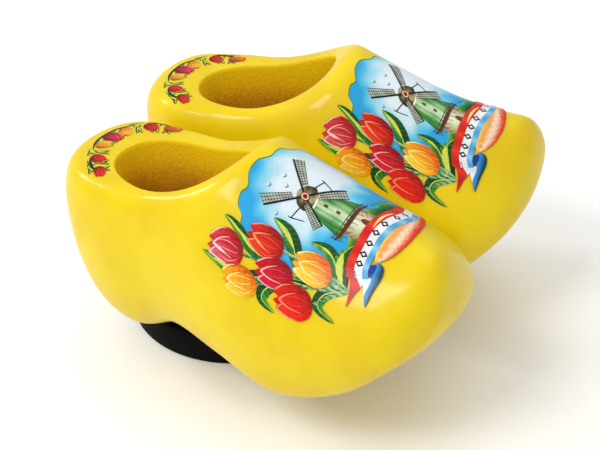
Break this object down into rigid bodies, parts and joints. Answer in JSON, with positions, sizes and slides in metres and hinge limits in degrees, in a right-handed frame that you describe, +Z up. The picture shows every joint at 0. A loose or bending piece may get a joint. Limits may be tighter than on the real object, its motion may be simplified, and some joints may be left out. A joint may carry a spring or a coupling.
{
  "type": "wooden clog pair",
  "caption": "Small souvenir pair of carved wooden clogs, toes apart, bonded on a round magnet, with printed flower and windmill transfers.",
  "frame": {"origin": "on the table under the middle of the pair's bounding box; the magnet's bottom face is at z = 0", "axes": "+Z up, the toes point along -Y, the wearer's right clog stands at -X and the left at +X"},
  "size_m": [0.0476, 0.0478, 0.0314],
  "materials": {
    "lacquered_poplar": "bright yellow gloss lacquer over carved poplar",
    "printed_transfer": "thin printed film under clear lacquer",
    "set_adhesive": "set hot-melt adhesive, satin",
    "sintered_ferrite": "dead black sintered ferrite, matt"
  },
  "bodies": {
    "root": {"clog_right": "lacquered_poplar", "clog_left": "lacquered_poplar", "vamp_transfer_right": "printed_transfer", "vamp_transfer_left": "printed_transfer", "heel_transfer_right": "printed_transfer", "heel_transfer_left": "printed_transfer", "adhesive_right": "set_adhesive", "adhesive_left": "set_adhesive", "magnet_disc": "sintered_ferrite"}
  },
  "joints": []
}
